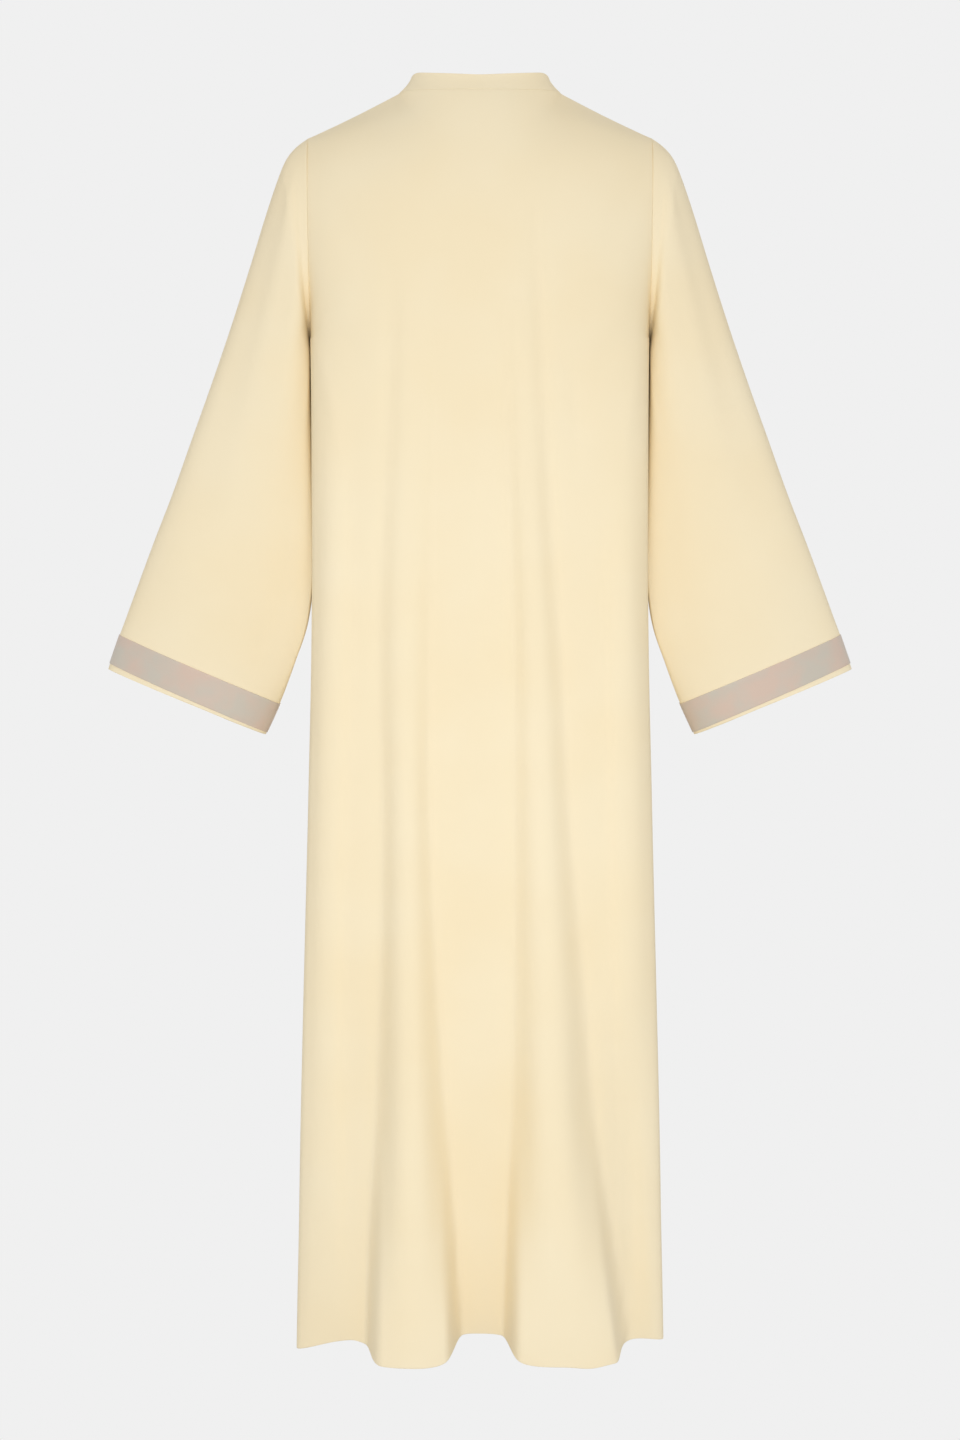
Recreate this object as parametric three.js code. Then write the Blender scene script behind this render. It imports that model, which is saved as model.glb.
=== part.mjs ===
// A long closed abaya with a stand collar, set-in sleeves and a plain band on each cuff.
// It keeps the hollow form it has when worn. Sizes are in millimetres, +Z is up.
// The garment's front faces -Y and its own left side is +X. Z is 0 at the root of the neck.
import * as THREE from 'three';

// Driving sizes
const clothWall = 2.0;
const bandWall = 1.6;
const seamGap = 0.3;
const bandClearance = 0.4;
const neckHalfWidth = 86;
const neckBackDepth = 58;
const neckFrontDepth = 68;
const neckSideHeight = -12;
const neckBackHeight = -15;
const neckFrontHeight = -48;
const shoulderX = 184.5;
const shoulderZ = -60;
const shoulderBow = -1;
const armholeX = 181;
const underarmZ = -273;
const armholeHalfDepth = 62;
const lapHalfWidth = 14;
const lapLift = 3.2;
const lapEase = 22;
const lapColumns = 2;
const yokeRows = 10;
const neckColumns = 12;
const shoulderColumns = 14;
const yokeAngle = 0.62;
const guideRings = 6;
const columnBias = 0.7;
const seamBlur = 1.15;
const armholeEaseStart = 0.6;
const underarmEaseStart = 0.88;

// The rows above the underarm: centre back, centre front and how far the seam line still pulls
const yokeTable = [
  { row: 0, backY: 58, backZ: -15, frontY: 68, frontZ: -48, pull: 1.0 },
  { row: 1, backY: 70, backZ: -38, frontY: 76, frontZ: -62, pull: 0.5 },
  { row: 2, backY: 81, backZ: -64, frontY: 86, frontZ: -80, pull: 0.24 },
  { row: 3, backY: 90, backZ: -92, frontY: 95, frontZ: -102, pull: 0.09 },
  { row: 4, backY: 97, backZ: -123, frontY: 102, frontZ: -129, pull: 0.02 },
  { row: 5, backY: 102, backZ: -156, frontY: 107, frontZ: -158, pull: 0 },
  { row: 6, backY: 105, backZ: -188, frontY: 110, frontZ: -189, pull: 0 },
  { row: 7, backY: 107, backZ: -217, frontY: 112, frontZ: -217, pull: 0 },
  { row: 8, backY: 108, backZ: -241, frontY: 113, frontZ: -241, pull: 0 },
  { row: 9, backY: 109, backZ: -260, frontY: 114, frontZ: -260, pull: 0 },
  { row: 10, backY: 109, backZ: -273, frontY: 114, frontZ: -273, pull: 0 },
];

// The rings round the body, down to the hem. Those above the underarm guide the panels there
const bodyTable = [
  { z: -120, halfWidth: 190.5, sideY: 0, backY: 97, frontY: 101, backFull: 0.45, frontFull: 0.47 },
  { z: -160, halfWidth: 190.8, sideY: 0, backY: 102.5, frontY: 107.5, backFull: 0.45, frontFull: 0.47 },
  { z: -200, halfWidth: 188, sideY: 0, backY: 106, frontY: 110.5, backFull: 0.45, frontFull: 0.47 },
  { z: -229, halfWidth: 184.3, sideY: 0, backY: 107.5, frontY: 112.3, backFull: 0.45, frontFull: 0.48 },
  { z: -252.6, halfWidth: 181.6, sideY: 0, backY: 108.5, frontY: 113.5, backFull: 0.42, frontFull: 0.5 },
  { z: -266, halfWidth: 181.1, sideY: 0, backY: 109, frontY: 114, backFull: 0.41, frontFull: 0.52 },
  { z: -273, halfWidth: 181, sideY: 0, backY: 109, frontY: 114, backFull: 0.4, frontFull: 0.54 },
  { z: -290, halfWidth: 180.5, sideY: 5, backY: 109, frontY: 114, backFull: 0.4, frontFull: 0.58 },
  { z: -315, halfWidth: 179.9, sideY: 15, backY: 109, frontY: 114, backFull: 0.4, frontFull: 0.62 },
  { z: -365, halfWidth: 179.3, sideY: 29, backY: 109, frontY: 114, backFull: 0.39, frontFull: 0.68 },
  { z: -430, halfWidth: 179.2, sideY: 39, backY: 108, frontY: 113, backFull: 0.38, frontFull: 0.73 },
  { z: -500, halfWidth: 179.3, sideY: 43, backY: 107, frontY: 112, backFull: 0.37, frontFull: 0.75 },
  { z: -575, halfWidth: 180, sideY: 44, backY: 105, frontY: 110, backFull: 0.37, frontFull: 0.76 },
  { z: -650, halfWidth: 181.6, sideY: 43, backY: 102, frontY: 108, backFull: 0.38, frontFull: 0.77 },
  { z: -725, halfWidth: 184, sideY: 41, backY: 99, frontY: 106, backFull: 0.4, frontFull: 0.77 },
  { z: -800, halfWidth: 186.4, sideY: 38, backY: 95, frontY: 104, backFull: 0.42, frontFull: 0.77 },
  { z: -875, halfWidth: 189, sideY: 36, backY: 91, frontY: 102, backFull: 0.44, frontFull: 0.78 },
  { z: -950, halfWidth: 191.7, sideY: 33, backY: 86, frontY: 100, backFull: 0.46, frontFull: 0.78 },
  { z: -1025, halfWidth: 194.4, sideY: 29, backY: 80, frontY: 98, backFull: 0.48, frontFull: 0.78 },
  { z: -1100, halfWidth: 197, sideY: 25, backY: 73, frontY: 96, backFull: 0.5, frontFull: 0.78 },
  { z: -1175, halfWidth: 199.3, sideY: 21, backY: 66, frontY: 94, backFull: 0.5, frontFull: 0.79 },
  { z: -1250, halfWidth: 201.3, sideY: 17, backY: 58, frontY: 92, backFull: 0.5, frontFull: 0.8 },
  { z: -1320, halfWidth: 203.6, sideY: 13, backY: 50, frontY: 90, backFull: 0.5, frontFull: 0.8 },
  { z: -1382, halfWidth: 205.4, sideY: 10, backY: 43, frontY: 88, backFull: 0.5, frontFull: 0.8 },
];

// Long hanging folds: each is a ridge between a left and a right edge that deepens downwards.
// From squareTop down to the hem their sides grow steeper and their crests flatter
const hemLevel = -1382;
const squareTop = -1080;
const squareSides = 0.3;
const squareShare = 0.84;
const backFolds = [
  [
    { z: -230, from: 46, to: 96, height: 0 },
    { z: -400, from: 48, to: 99, height: 5 },
    { z: -560, from: 52, to: 108, height: 9 },
    { z: -760, from: 54, to: 104, height: 15 },
    { z: -960, from: 46, to: 108, height: 24 },
    { z: -1160, from: 34, to: 116, height: 40 },
    { z: -1382, from: 23, to: 124, height: 67 },
  ],
  [
    { z: -170, from: -58, to: -20, height: 0 },
    { z: -400, from: -72, to: -27, height: 6 },
    { z: -560, from: -84, to: -34, height: 10 },
    { z: -760, from: -94, to: -36, height: 16 },
    { z: -960, from: -112, to: -36, height: 25 },
    { z: -1160, from: -130, to: -33, height: 41 },
    { z: -1382, from: -166, to: -27.5, height: 67 },
  ],
  [
    { z: -300, from: 134, to: 172, height: 0 },
    { z: -560, from: 134, to: 178, height: 5 },
    { z: -960, from: 146, to: 186, height: 4 },
    { z: -1382, from: 150, to: 198, height: 0 },
  ],
  [
    { z: -400, from: -176, to: -126, height: 0 },
    { z: -600, from: -178, to: -128, height: 6 },
    { z: -960, from: -186, to: -140, height: 4 },
    { z: -1382, from: -196, to: -160, height: 0 },
  ],
];
const frontFolds = [
  [
    { z: -300, from: 40, to: 88, height: 0 },
    { z: -760, from: 36, to: 92, height: 8 },
    { z: -1382, from: 26, to: 98, height: 31 },
  ],
  [
    { z: -300, from: -88, to: -42, height: 0 },
    { z: -760, from: -94, to: -38, height: 9 },
    { z: -1382, from: -104, to: -28, height: 33 },
  ],
  [
    { z: -420, from: 118, to: 160, height: 0 },
    { z: -900, from: 118, to: 168, height: 7 },
    { z: -1382, from: 112, to: 184, height: 22 },
  ],
  [
    { z: -380, from: -164, to: -120, height: 0 },
    { z: -900, from: -170, to: -118, height: 7 },
    { z: -1382, from: -182, to: -114, height: 20 },
  ],
];

// How far the hem hangs from its level at each place round it, by angle from the centre back
const hemTable = [
  { angle: -180, drop: 4 },
  { angle: -140, drop: 5 },
  { angle: -90, drop: 1 },
  { angle: -66, drop: -2 },
  { angle: -44, drop: 1 },
  { angle: -36, drop: 3.5 },
  { angle: -28, drop: 1 },
  { angle: -14, drop: -1 },
  { angle: -7, drop: -12 },
  { angle: 0, drop: -14 },
  { angle: 6, drop: -12 },
  { angle: 12, drop: 0 },
  { angle: 24, drop: 2 },
  { angle: 36, drop: 1 },
  { angle: 44, drop: -5 },
  { angle: 70, drop: 7 },
  { angle: 90, drop: 11.5 },
  { angle: 140, drop: 5 },
  { angle: 180, drop: 4 },
];

// The collar stands straighter towards its top edge
const collarCurve = 1.5;
// The collar's rise and its lean towards the neck, by angle from the centre back
const collarTable = [
  { turn: 0, rise: 16, lean: 8 },
  { turn: 40, rise: 18.5, lean: 9 },
  { turn: 62, rise: 19.5, lean: 11.5 },
  { turn: 90, rise: 15.5, lean: 12.5 },
  { turn: 130, rise: 18, lean: 9 },
  { turn: 180, rise: 21, lean: 7 },
];

// The rings of a left sleeve: outer edge, edge nearest the body, half depth and centre depth.
// Power 1 makes a ring an oval and a smaller one gives it flatter faces
const sleeveTable = [
  { outerX: 184.5, outerZ: -60, innerX: 181, innerZ: -273, innerY: 0, halfDepth: 62, centreY: 0, power: 1 },
  {
    outerX: 196.6, outerZ: -69.1, innerX: 183.8, innerZ: -275.5, innerY: 7,
    halfDepth: 64, centreY: 0, power: 0.94,
  },
  {
    outerX: 205.8, outerZ: -80.4, innerX: 183.4, innerZ: -281, innerY: 15,
    halfDepth: 65, centreY: 0, power: 0.8,
  },
  {
    outerX: 213.8, outerZ: -98.5, innerX: 183, innerZ: -291, innerY: 21,
    halfDepth: 64, centreY: 0, power: 0.64,
  },
  {
    outerX: 228, outerZ: -139, innerX: 182.6, innerZ: -311, innerY: 25,
    halfDepth: 61, centreY: 0, power: 0.56,
  },
  {
    outerX: 247, outerZ: -198, innerX: 182.2, innerZ: -345, innerY: 28,
    halfDepth: 58, centreY: -1, power: 0.52,
  },
  {
    outerX: 268.2, outerZ: -261, innerX: 181.8, innerZ: -388, innerY: 30,
    halfDepth: 55, centreY: -2, power: 0.5,
  },
  {
    outerX: 290.2, outerZ: -322, innerX: 181.6, innerZ: -434, innerY: 33,
    halfDepth: 51, centreY: -3, power: 0.5,
  },
  {
    outerX: 312.4, outerZ: -381, innerX: 181.5, innerZ: -482, innerY: 34,
    halfDepth: 48, centreY: -4, power: 0.5,
  },
  {
    outerX: 333.8, outerZ: -438, innerX: 181.6, innerZ: -534, innerY: 34,
    halfDepth: 45, centreY: -6, power: 0.52,
  },
  {
    outerX: 355.4, outerZ: -491, innerX: 188.4, innerZ: -582, innerY: 28,
    halfDepth: 43, centreY: -8, power: 0.55,
  },
  {
    outerX: 373.8, outerZ: -538, innerX: 201.8, innerZ: -620, innerY: 18,
    halfDepth: 40, centreY: -10, power: 0.6,
  },
  {
    outerX: 387, outerZ: -572, innerX: 212, innerZ: -647, innerY: 6,
    halfDepth: 38, centreY: -12, power: 0.64,
  },
  {
    outerX: 395.4, outerZ: -594, innerX: 221, innerZ: -669, innerY: -4,
    halfDepth: 36.5, centreY: -13, power: 0.66,
  },
  {
    outerX: 406.8, outerZ: -625.5, innerX: 236, innerZ: -701, innerY: -10,
    halfDepth: 35, centreY: -14, power: 0.66,
  },
  {
    outerX: 409, outerZ: -632, innerX: 236.8, innerZ: -703, innerY: -12,
    halfDepth: 34.5, centreY: -14, power: 0.66,
  },
];
const cuffRow = 12;
const cuffRise = 2.6;
const bandFirstRow = 13;
const bandLastRow = 14;

// Soft folds along a sleeve, by the angle round it from the outer edge
const sleeveFolds = [
  { angle: 62, spread: 24, height: 4.5, twist: 10 },
  { angle: 112, spread: 22, height: 3.5, twist: -8 },
  { angle: 236, spread: 24, height: 3.5, twist: 8 },
  { angle: 296, spread: 24, height: 4, twist: -8 },
];

const yokeHeights = yokeTable.length - 1;
const rowCount = yokeHeights + bodyTable.length - 1 - guideRings;
const halfColumns = neckColumns + shoulderColumns;
const ringColumns = 2 * yokeRows;
const halfTurn = Math.PI;
const quarterTurn = Math.PI / 2;

function smoothStep(value) {
  const t = Math.min(1, Math.max(0, value));
  return t * t * (3 - 2 * t);
}

function mix(a, b, t) {
  return a + (b - a) * t;
}

// A smooth curve through one column of a table, with the slope at each row taken from its neighbours
function readTable(table, key, at, column) {
  const rising = table[table.length - 1][key] > table[0][key];
  const last = table.length - 1;
  let i = 0;
  while (i < last - 1 && (rising ? at > table[i + 1][key] : at < table[i + 1][key])) {
    i += 1;
  }
  const slopeAt = (n) => {
    const before = table[Math.max(0, n - 1)];
    const after = table[Math.min(last, n + 1)];
    return (after[column] - before[column]) / (after[key] - before[key]);
  };
  const low = table[i];
  const high = table[i + 1];
  const span = high[key] - low[key];
  const t = Math.min(1, Math.max(0, (at - low[key]) / span));
  const t2 = t * t;
  const t3 = t2 * t;
  return (2 * t3 - 3 * t2 + 1) * low[column] + (t3 - 2 * t2 + t) * span * slopeAt(i)
    + (3 * t2 - 2 * t3) * high[column] + (t3 - t2) * span * slopeAt(i + 1);
}

function foldHeight(folds, x, z) {
  let sum = 0;
  for (const fold of folds) {
    if (z < fold[0].z) {
      const from = readTable(fold, 'z', z, 'from');
      const to = readTable(fold, 'z', z, 'to');
      const height = Math.max(0, readTable(fold, 'z', z, 'height'));
      const across = Math.min(1, Math.max(0, (x - from) / (to - from)));
      const arch = Math.sin(halfTurn * across);
      const soft = mix(Math.pow(arch, 1.4), smoothStep(arch), 0.55);
      const square = mix(arch, smoothStep(arch / squareSides), squareShare);
      sum += height * mix(soft, square, smoothStep((z - squareTop) / (hemLevel - squareTop)));
    }
  }
  return sum;
}

// The armhole of the left side, by the angle from the shoulder point (0) to the underarm (pi)
function armholePoint(angle, face) {
  const middle = (shoulderZ + underarmZ) / 2;
  const half = (shoulderZ - underarmZ) / 2;
  const topShare = Math.pow(Math.max(0, Math.cos(angle / 2)), 6);
  const x = mix(armholeX, shoulderX, topShare);
  return new THREE.Vector3(x, face * armholeHalfDepth * Math.sin(angle), middle + half * Math.cos(angle));
}

// Directions that two pieces share along the seam between them, so that their walls end side by side
function armholeNormal(angle, face) {
  return new THREE.Vector3(0, face * Math.sin(angle), Math.cos(angle));
}

function neckPoint(turn) {
  const back = Math.cos(turn) > 0;
  const depth = back ? neckBackDepth : neckFrontDepth;
  const centre = back ? neckBackHeight : neckFrontHeight;
  const share = Math.pow(Math.abs(Math.cos(turn)), back ? 2 : 1.6);
  return new THREE.Vector3(
    neckHalfWidth * Math.sin(turn),
    depth * Math.cos(turn),
    mix(neckSideHeight, centre, share),
  );
}

function neckNormal(turn) {
  const back = Math.cos(turn) > 0;
  const rise = mix(back ? 0.36 : 0.41, 0.68, Math.pow(Math.sin(turn), 4));
  const out = Math.sqrt(1 - rise * rise);
  const depth = back ? neckBackDepth : neckFrontDepth;
  const radial = new THREE.Vector3(Math.sin(turn) / neckHalfWidth, Math.cos(turn) / depth, 0);
  radial.normalize().multiplyScalar(out);
  return radial.setZ(rise);
}

// The top edge of a panel: the neckline, then the shoulder seam
function topEdge(column, face) {
  const side = Math.sign(column);
  const step = Math.abs(column);
  if (step <= neckColumns) {
    const turn = quarterTurn * step / neckColumns;
    const at = neckPoint(face > 0 ? turn : halfTurn - turn);
    return at.setX(side * at.x);
  }
  const t = (step - neckColumns) / shoulderColumns;
  const x = mix(neckHalfWidth, shoulderX, t);
  const bow = shoulderBow * Math.sin(halfTurn * t);
  return new THREE.Vector3(side * x, 0, mix(neckSideHeight, shoulderZ, t) + bow);
}

function topEdgeNormal(column, face) {
  const side = Math.sign(column);
  const step = Math.abs(column);
  if (step <= neckColumns) {
    const turn = quarterTurn * step / neckColumns;
    const at = neckNormal(face > 0 ? turn : halfTurn - turn);
    return at.setX(side * at.x);
  }
  const t = (step - neckColumns) / shoulderColumns;
  return new THREE.Vector3(side * mix(0.7, 0.4, Math.sqrt(t)), 0, 0.85).normalize();
}

// The angle round the body of each column, denser near the middle where the folds are
function columnAngle(column) {
  const share = column / halfColumns;
  return quarterTurn * (columnBias * share + (1 - columnBias) * share * share * share);
}

// The depth of the body's surface at one place, measured from the shoulder line
function bodyDepth(x, z, face) {
  const halfWidth = readTable(bodyTable, 'z', z, 'halfWidth');
  const sideY = readTable(bodyTable, 'z', z, 'sideY');
  const reach = readTable(bodyTable, 'z', z, face > 0 ? 'backY' : 'frontY') - face * sideY;
  const power = readTable(bodyTable, 'z', z, face > 0 ? 'backFull' : 'frontFull');
  const across = Math.min(1, Math.abs(x) / halfWidth);
  const fullness = Math.pow(Math.max(0, 1 - across * across), power / 2);
  const fade = smoothStep((halfWidth - Math.abs(x)) / 12);
  const lift = foldHeight(face > 0 ? backFolds : frontFolds, x, z) * fade;
  return sideY + face * (reach * fullness + lift);
}

function ringPoint(angle, z, face) {
  const x = readTable(bodyTable, 'z', z, 'halfWidth') * Math.sin(angle);
  const turn = face > 0 ? angle : Math.sign(angle || 1) * halfTurn - angle;
  const drop = readTable(hemTable, 'angle', THREE.MathUtils.radToDeg(turn), 'drop');
  const low = Math.pow(Math.max(0, (z - underarmZ) / (hemLevel - underarmZ)), 3);
  return new THREE.Vector3(x, bodyDepth(x, z, face), z - drop * low);
}

function yokePoint(column, row, face) {
  const step = Math.abs(column);
  const side = Math.sign(column) || 1;
  const end = armholePoint(halfTurn * row / yokeRows, face);
  const centreY = readTable(yokeTable, 'row', row, face > 0 ? 'backY' : 'frontY');
  const centreZ = readTable(yokeTable, 'row', row, face > 0 ? 'backZ' : 'frontZ');
  const open = mix(yokeAngle, 1, smoothStep((row - 4) / (yokeRows - 4)));
  const share = columnAngle(step) * open;
  const x = end.x * Math.sin(share) / Math.sin(quarterTurn * open);
  const fall = (Math.cos(share) - Math.cos(quarterTurn * open)) / (1 - Math.cos(quarterTurn * open));
  const z = mix(end.z, centreZ, smoothStep(fall));
  const shoulderY = end.y + (face * centreY - end.y) * Math.max(0, fall);
  const edgeError = end.y - bodyDepth(end.x, end.z, face);
  // The panel eases out to the armhole over a strip that narrows towards the underarm
  const lower = smoothStep(2 * row / yokeRows - 1);
  const easeStart = mix(armholeEaseStart, underarmEaseStart, lower);
  const ease = smoothStep((step / halfColumns - easeStart) / (1 - easeStart));
  const chestY = bodyDepth(side * x, z, face) + edgeError * ease;
  return new THREE.Vector3(side * x, mix(shoulderY, chestY, smoothStep((row - 3) / 4)), z);
}

// One point of a panel. Column 0 is the middle, row 0 the top edge and the last row the hem
function panelPoint(column, row, face) {
  if (row > yokeHeights) {
    const index = row - yokeHeights + guideRings;
    const low = Math.min(bodyTable.length - 2, Math.floor(index));
    const z = mix(bodyTable[low].z, bodyTable[low + 1].z, index - low);
    return ringPoint(columnAngle(column), z, face);
  }
  const base = yokePoint(column, row, face);
  const pull = readTable(yokeTable, 'row', row, 'pull');
  if (pull > 0) {
    // The seam's corner at the neck softens with the distance below it
    const reaches = [-2, -1, 0, 1, 2];
    for (const reach of reaches) {
      const near = Math.max(-halfColumns, Math.min(halfColumns, column + reach * seamBlur * row));
      const offset = topEdge(near, face).sub(yokePoint(near, 0, face));
      base.addScaledVector(offset, pull / reaches.length);
    }
  }
  return base;
}

function panelNormal(column, row, face) {
  const edge = Math.abs(column) >= halfColumns;
  const side = Math.sign(column);
  if (edge && row <= yokeHeights) {
    return armholeNormal(halfTurn * row / yokeRows, face);
  }
  if (row === 0) {
    return topEdgeNormal(column, face);
  }
  if (edge) {
    return new THREE.Vector3(side, 0, 0);
  }
  const tinyStep = 0.05;
  const across = panelPoint(column + tinyStep, row, face).sub(panelPoint(column - tinyStep, row, face));
  const upper = Math.max(0, row - tinyStep);
  const lower = Math.min(rowCount, row + tinyStep);
  const down = panelPoint(column, lower, face).sub(panelPoint(column, upper, face));
  return across.cross(down).multiplyScalar(face).normalize();
}

// The move that takes a seam point half of the gap back into its own piece, square to the seam
function seamMove(at, before, after, within, normal) {
  const away = after.clone().sub(before).cross(normal).normalize();
  const sense = away.dot(within.clone().sub(at)) < 0 ? -1 : 1;
  return away.multiplyScalar(sense * seamGap * 0.55);
}

function openSeam(points, normals, edges) {
  const lastRow = points.length - 1;
  const lastColumn = points[0].length - 1;
  const moved = points.map((line) => line.map((point) => point.clone()));
  const pullBack = (i, j, stepRow, stepColumn, inRow, inColumn) => {
    const beforeRow = Math.max(0, i - stepRow);
    const beforeColumn = Math.max(0, j - stepColumn);
    const afterRow = Math.min(lastRow, i + stepRow);
    const afterColumn = Math.min(lastColumn, j + stepColumn);
    const before = points[beforeRow][beforeColumn];
    const after = points[afterRow][afterColumn];
    moved[i][j].add(seamMove(points[i][j], before, after, points[inRow][inColumn], normals[i][j]));
  };
  if (edges.top) {
    for (let j = 0; j <= lastColumn; j += 1) {
      pullBack(0, j, 0, 1, 1, j);
    }
  }
  for (let i = 0; i <= lastRow; i += 1) {
    if (edges.start) {
      pullBack(i, 0, 1, 0, i, 1);
    }
    if (edges.end) {
      pullBack(i, lastColumn, 1, 0, i, lastColumn - 1);
    }
  }
  return moved;
}

// A closed wall: the grid's points moved out and in along their normals, with rims between
function wallGeometry(points, normals, inward, outward, closedRing) {
  const rows = points.length;
  const columns = points[0].length;
  const positions = [];
  const indices = [];
  for (const reach of [outward, -inward]) {
    for (let i = 0; i < rows; i += 1) {
      for (let j = 0; j < columns; j += 1) {
        const at = points[i][j].clone().addScaledVector(normals[i][j], reach);
        positions.push(at.x, at.y, at.z);
      }
    }
  }
  const layer = rows * columns;
  const outer = (i, j) => i * columns + (j % columns);
  const inner = (i, j) => layer + outer(i, j);
  const quad = (a, b, c, d) => {
    indices.push(a, b, c, a, c, d);
  };
  const spans = closedRing ? columns : columns - 1;
  for (let i = 0; i < rows - 1; i += 1) {
    for (let j = 0; j < spans; j += 1) {
      quad(outer(i, j), outer(i + 1, j), outer(i + 1, j + 1), outer(i, j + 1));
      quad(inner(i, j), inner(i, j + 1), inner(i + 1, j + 1), inner(i + 1, j));
    }
  }
  for (let j = 0; j < spans; j += 1) {
    quad(outer(0, j), outer(0, j + 1), inner(0, j + 1), inner(0, j));
    quad(outer(rows - 1, j), inner(rows - 1, j), inner(rows - 1, j + 1), outer(rows - 1, j + 1));
  }
  if (!closedRing) {
    for (let i = 0; i < rows - 1; i += 1) {
      quad(outer(i, 0), inner(i, 0), inner(i + 1, 0), outer(i + 1, 0));
      quad(outer(i, columns - 1), outer(i + 1, columns - 1), inner(i + 1, columns - 1), inner(i, columns - 1));
    }
  }
  const geometry = new THREE.BufferGeometry();
  geometry.setAttribute('position', new THREE.Float32BufferAttribute(positions, 3));
  geometry.setIndex(indices);
  return facingOut(geometry);
}

// Turns every face outwards: a grid that runs the other way round gives a wall that is inside out
function facingOut(geometry) {
  const index = geometry.getIndex();
  const position = geometry.getAttribute('position');
  const corner = (n) => new THREE.Vector3().fromBufferAttribute(position, index.getX(n));
  let volume = 0;
  for (let i = 0; i < index.count; i += 3) {
    volume += corner(i).dot(corner(i + 1).cross(corner(i + 2)));
  }
  if (volume < 0) {
    for (let i = 0; i < index.count; i += 3) {
      const second = index.getX(i + 1);
      index.setX(i + 1, index.getX(i + 2));
      index.setX(i + 2, second);
    }
  }
  geometry.computeVertexNormals();
  return geometry;
}

// How far the upper layer of the front lap stands off, by the distance from the centre front
function lapOffset(x) {
  return lapLift * (1 - smoothStep((-x - lapHalfWidth - 2) / lapEase));
}

// The columns of a front panel in one row: across the straight lap, then outwards to the side seam
function frontColumns(side, row) {
  const lapColumn = lapHalfWidth / panelPoint(1, row, -1).x;
  const columns = [-1, -0.5, 0, 0.5, 1].map((share) => side * share * lapColumn);
  for (let j = lapColumns; j <= halfColumns; j += 1) {
    columns.push(side * j);
  }
  return columns.sort((a, b) => a - b);
}

function backColumns() {
  const columns = [];
  for (let j = -halfColumns; j <= halfColumns; j += 1) {
    columns.push(j);
  }
  return columns;
}

function panelGeometry(columnsAt, face, lifted) {
  const points = [];
  const normals = [];
  for (let row = 0; row <= rowCount; row += 1) {
    const line = [];
    const directions = [];
    for (const column of columnsAt(row)) {
      const at = panelPoint(column, row, face);
      const normal = panelNormal(column, row, face);
      if (lifted) {
        at.addScaledVector(normal, lapOffset(at.x));
      }
      line.push(at);
      directions.push(normal);
    }
    points.push(line);
    normals.push(directions);
  }
  const ends = columnsAt(0);
  const start = ends[0] === -halfColumns;
  const end = ends[ends.length - 1] === halfColumns;
  const opened = openSeam(points, normals, { top: true, start, end });
  // At the underarm the side seam starts, so the corner moves back from that seam too
  const underarm = opened[yokeHeights];
  underarm[0].y += start ? face * seamGap : 0;
  underarm[underarm.length - 1].y += end ? face * seamGap : 0;
  return wallGeometry(opened, normals, clothWall / 2, clothWall / 2, false);
}

function sleeveGrid() {
  const points = [];
  const normals = [];
  const last = sleeveTable.length - 1;
  sleeveTable.forEach((section, row) => {
    const outer = new THREE.Vector3(section.outerX, section.centreY, section.outerZ);
    const inner = new THREE.Vector3(section.innerX, section.innerY, section.innerZ);
    const centre = outer.clone().add(inner).multiplyScalar(0.5);
    const half = outer.clone().sub(inner).multiplyScalar(0.5);
    const line = [];
    for (let j = 0; j < ringColumns; j += 1) {
      const angle = 2 * halfTurn * j / ringColumns;
      if (row === 0) {
        const face = Math.sin(angle) < 0 ? -1 : 1;
        line.push(armholePoint(face > 0 ? angle : 2 * halfTurn - angle, face));
        continue;
      }
      const along = row / last;
      let waves = 0;
      for (const fold of sleeveFolds) {
        const from = THREE.MathUtils.radToDeg(angle) - fold.angle - fold.twist * along;
        waves += fold.height * Math.exp(-from * from / (fold.spread * fold.spread));
      }
      waves *= smoothStep(along * 4) * mix(1, 0.45, smoothStep((along - 0.6) / 0.4));
      const flat = 1 - 0.1 * smoothStep(along * 1.5) * Math.pow(Math.cos(angle), 8);
      const bulge = Math.pow(Math.abs(Math.sin(angle)), section.power);
      const depth = Math.sign(Math.sin(angle)) * (section.halfDepth * flat + waves - 2);
      const at = centre.clone().addScaledVector(half, Math.cos(angle));
      // The middle of each face is a little shorter than its edges at the cuff
      at.z += cuffRise * bulge * smoothStep(row - cuffRow);
      line.push(at.setY(mix(at.y, section.centreY + depth, bulge)));
    }
    points.push(line);
  });
  for (let row = 0; row <= last; row += 1) {
    const directions = [];
    for (let j = 0; j < ringColumns; j += 1) {
      const angle = 2 * halfTurn * j / ringColumns;
      if (row === 0) {
        const face = Math.sin(angle) < 0 ? -1 : 1;
        directions.push(armholeNormal(face > 0 ? angle : 2 * halfTurn - angle, face));
        continue;
      }
      const around = points[row][(j + 1) % ringColumns].clone();
      around.sub(points[row][(j + ringColumns - 1) % ringColumns]);
      const down = points[Math.min(last, row + 1)][j].clone().sub(points[row - 1][j]);
      directions.push(down.cross(around).normalize());
    }
    normals.push(directions);
  }
  const seam = points[0];
  points[0] = seam.map((at, j) => {
    const before = seam[(j + ringColumns - 1) % ringColumns];
    const after = seam[(j + 1) % ringColumns];
    return at.clone().add(seamMove(at, before, after, points[1][j], normals[0][j]));
  });
  return { points, normals };
}

function mirrored(grid) {
  const flipX = (line) => line.map((at) => new THREE.Vector3(-at.x, at.y, at.z));
  return { points: grid.points.map(flipX), normals: grid.normals.map(flipX) };
}

function sleeveGeometry(grid) {
  return wallGeometry(grid.points, grid.normals, clothWall / 2, clothWall / 2, true);
}

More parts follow.
